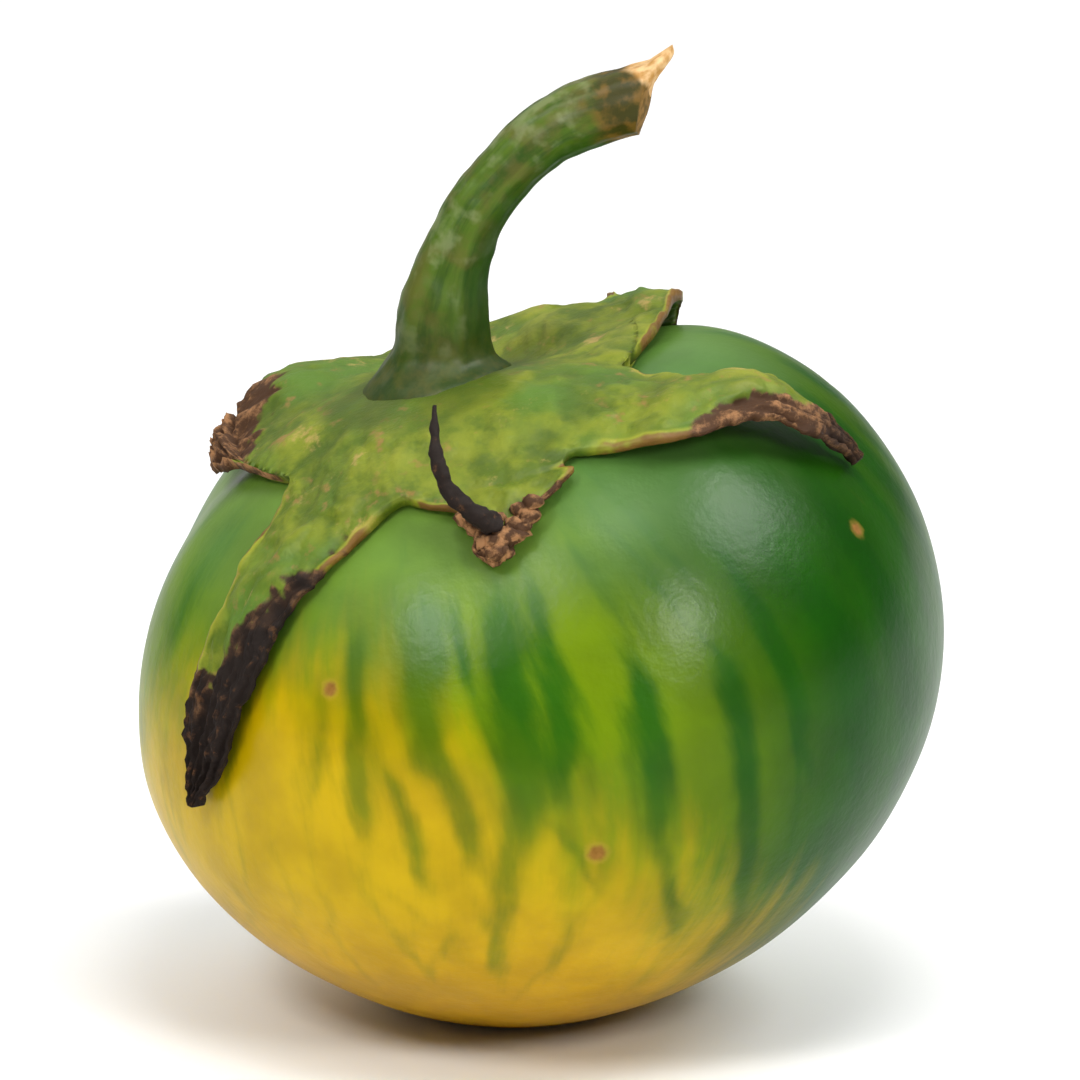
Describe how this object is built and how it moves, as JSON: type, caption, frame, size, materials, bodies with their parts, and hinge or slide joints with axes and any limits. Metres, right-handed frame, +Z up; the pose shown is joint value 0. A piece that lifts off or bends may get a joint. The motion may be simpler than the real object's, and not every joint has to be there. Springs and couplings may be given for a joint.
{
  "type": "gboma eggplant",
  "caption": "Small round striped eggplant, green to golden yellow, leaning at its stem end, with a leathery lobed calyx and a curved cut stem; rests on a small flat spot.",
  "frame": {"origin": "centre of the small flat spot under the fruit, where it rests", "axes": "+Z up, -Y towards the viewer of the picture, +X to that viewer's right; the stem curves towards +X"},
  "size_m": [0.0592, 0.0593, 0.0733],
  "materials": {
    "fruit": "glossy waxy skin, green stripes over golden yellow",
    "calyx": "leathery yellow-green, dried brown at the tips",
    "stem": "satin green with brown streaks"
  },
  "bodies": {
    "root": {"fruit": "fruit", "calyx": "calyx", "stem": "stem"}
  },
  "joints": []
}
